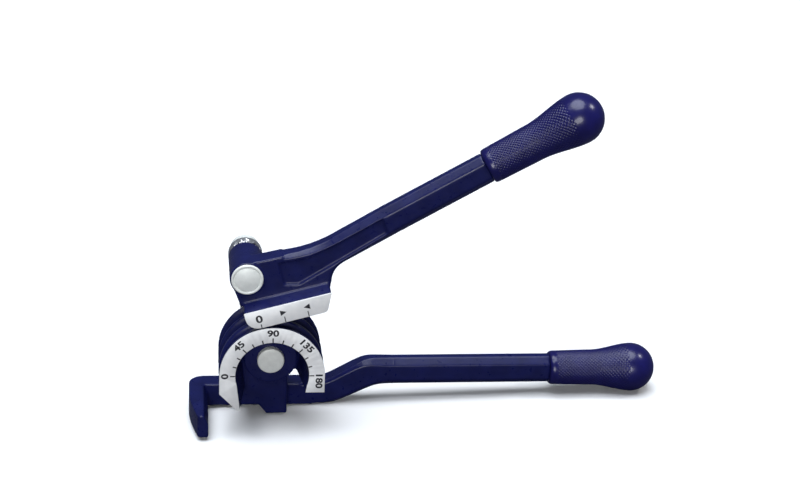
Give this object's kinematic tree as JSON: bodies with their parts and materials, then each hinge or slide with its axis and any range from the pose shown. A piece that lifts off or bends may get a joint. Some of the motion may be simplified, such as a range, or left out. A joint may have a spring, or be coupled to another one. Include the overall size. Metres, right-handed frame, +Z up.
{
  "type": "lever tube bender",
  "caption": "Hand lever bender for small tubes: grooved former on one handle, link and grooved shoe on the other.",
  "frame": {"origin": "on the bend axis, in the plane of the two silver scale plates", "axes": "+X along the lower handle, from the former to the grip; +Y along the bend axis, from the scale side to the back; +Z up, from the face the tool stands on"},
  "size_m": [0.236, 0.0502, 0.1708],
  "materials": {
    "enamel": "gloss navy enamel on a casting",
    "grip": "navy vinyl with fine diamond knurling",
    "plate": "satin silver",
    "pin_steel": "bright zinc",
    "link_steel": "satin zinc"
  },
  "bodies": {
    "base": {"form_handle": "enamel", "degree_plate": "plate", "lower_grip": "grip", "centre_pin": "pin_steel", "axis_washer": "link_steel", "rear_washer": "link_steel", "centre_ring": "link_steel"},
    "link": {"link": "link_steel", "handle_pin": "pin_steel", "barrel_washer": "link_steel", "pin_cap": "pin_steel"},
    "lever": {"lever_handle": "enamel", "index_plate": "plate", "upper_grip": "grip"}
  },
  "joints": [
    {"name": "link_swing", "type": "hinge", "parent": "base", "child": "link", "pos_m": [0, 0.036, 0], "axis": [0, 1, 0], "range_deg": [-75, 105]},
    {"name": "lever_swing", "type": "hinge", "parent": "link", "child": "lever", "pos_m": [-0.0122, 0.02, 0.047], "axis": [0, 1, 0], "range_deg": [-110, 0]}
  ]
}
